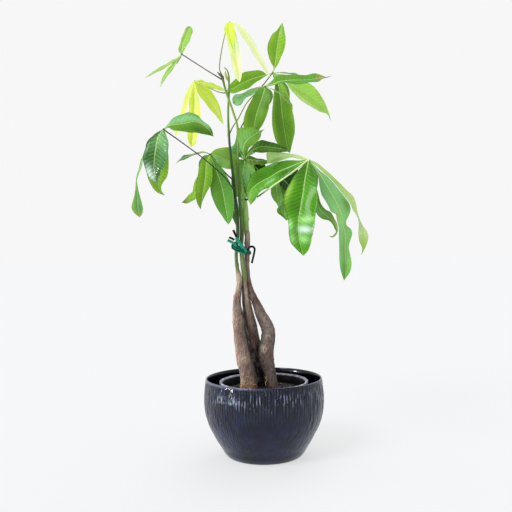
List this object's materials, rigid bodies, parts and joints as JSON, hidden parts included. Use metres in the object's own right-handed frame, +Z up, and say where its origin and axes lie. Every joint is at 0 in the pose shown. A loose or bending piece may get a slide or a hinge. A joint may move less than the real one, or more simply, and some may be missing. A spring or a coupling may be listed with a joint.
{
  "type": "potted money tree",
  "caption": "Potted money tree: leaning trunks tied above the middle, drooping compound leaves, in a nursery pot inside a round dark hammered planter.",
  "frame": {"origin": "centre of the flat underside of the planter, which rests on the surface", "axes": "+Z up along the plant, -Y towards the side the picture was taken from, +X to that viewer's right"},
  "size_m": [0.372, 0.2598, 0.7409],
  "materials": {
    "planter_shell": "glossy, hammered",
    "nursery_plastic": "satin",
    "potting_soil": "rough, crumbly",
    "bark_light": "matte bark",
    "bark_dark": "matte bark",
    "bark_grey": "matte bark",
    "stem_green": "satin",
    "tie_film": "satin film",
    "leaf_lime": "satin",
    "leaf_fresh": "satin",
    "leaf_green": "satin",
    "leaf_deep": "glossy"
  },
  "bodies": {
    "root": {"planter": "planter_shell", "nursery_pot": "nursery_plastic", "soil": "potting_soil", "trunk_left": "bark_light", "trunk_middle": "bark_dark", "trunk_right": "bark_grey", "stem_left": "stem_green", "stem_middle": "stem_green", "stem_right": "stem_green", "twist_tie": "tie_film", "leaf_top_left": "leaf_fresh", "leaf_top": "leaf_lime", "leaf_upper_left": "leaf_lime", "leaf_left": "leaf_deep", "leaf_middle_left": "leaf_green", "leaf_centre": "leaf_deep", "leaf_right": "leaf_green", "leaf_inner_right": "leaf_deep", "leaf_upper_right": "leaf_green", "leaf_upper_inner": "leaf_green"}
  },
  "joints": []
}
